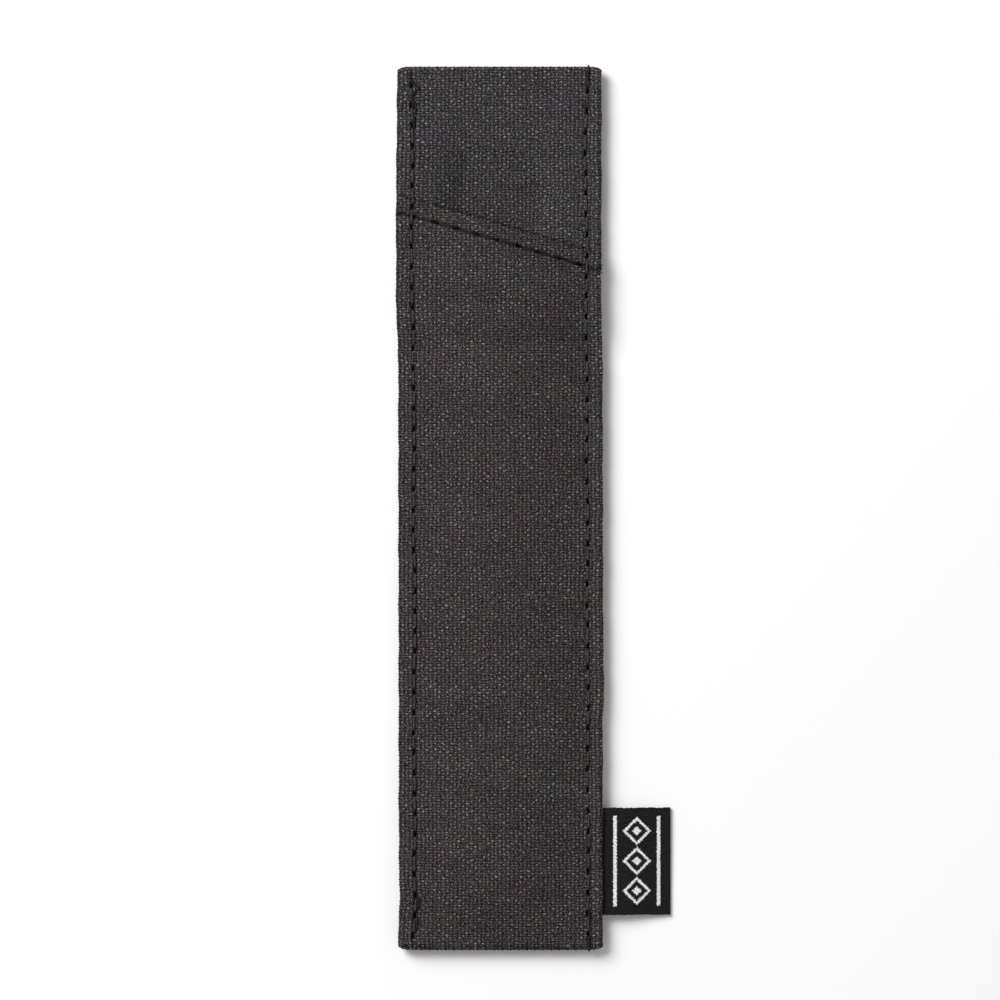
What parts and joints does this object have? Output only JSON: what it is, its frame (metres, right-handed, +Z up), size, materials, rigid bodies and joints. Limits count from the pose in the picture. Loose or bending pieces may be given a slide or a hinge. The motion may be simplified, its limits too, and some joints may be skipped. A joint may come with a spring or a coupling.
{
  "type": "pen sleeve",
  "caption": "Flat sewn cloth sleeve for one pen, open at a slanted mouth near the top, with turned and topstitched edges and a folded woven label in the side seam.",
  "frame": {"origin": "middle of the flat of the back that the sleeve rests on", "axes": "+Z up through the front, +Y along the sleeve towards its open end, +X towards the edge with the label"},
  "size_m": [0.0508, 0.165, 0.007],
  "materials": {
    "cloth": "plain-woven two-tone charcoal polyester, matte",
    "thread": "charcoal polyester sewing thread",
    "label_tape": "black woven label tape with a white woven ornament"
  },
  "bodies": {
    "sleeve": {"back_panel": "cloth", "top_facing": "cloth", "left_front_edge": "cloth", "right_front_edge": "cloth", "left_needle_thread": "thread", "left_bobbin_thread": "thread", "right_needle_thread": "thread", "right_bobbin_thread": "thread", "mouth_thread_ends": "thread", "label_tail": "label_tape"},
    "front": {"front_panel": "cloth", "mouth_hem": "cloth", "mouth_needle_thread": "thread", "mouth_bobbin_thread": "thread"},
    "label": {"side_label": "label_tape"}
  },
  "joints": [
    {"name": "mouth_flex", "type": "hinge", "parent": "sleeve", "child": "front", "pos_m": [0, -0.0817, 0.0024], "axis": [1, 0, 0], "range_deg": [0, 2.5], "stiffness_Nm_per_rad": 0.05},
    {"name": "label_flex", "type": "hinge", "parent": "sleeve", "child": "label", "pos_m": [0.0195, -0.066, 0.0018], "axis": [0, 1, 0], "range_deg": [-80, 80], "stiffness_Nm_per_rad": 0.0002}
  ]
}
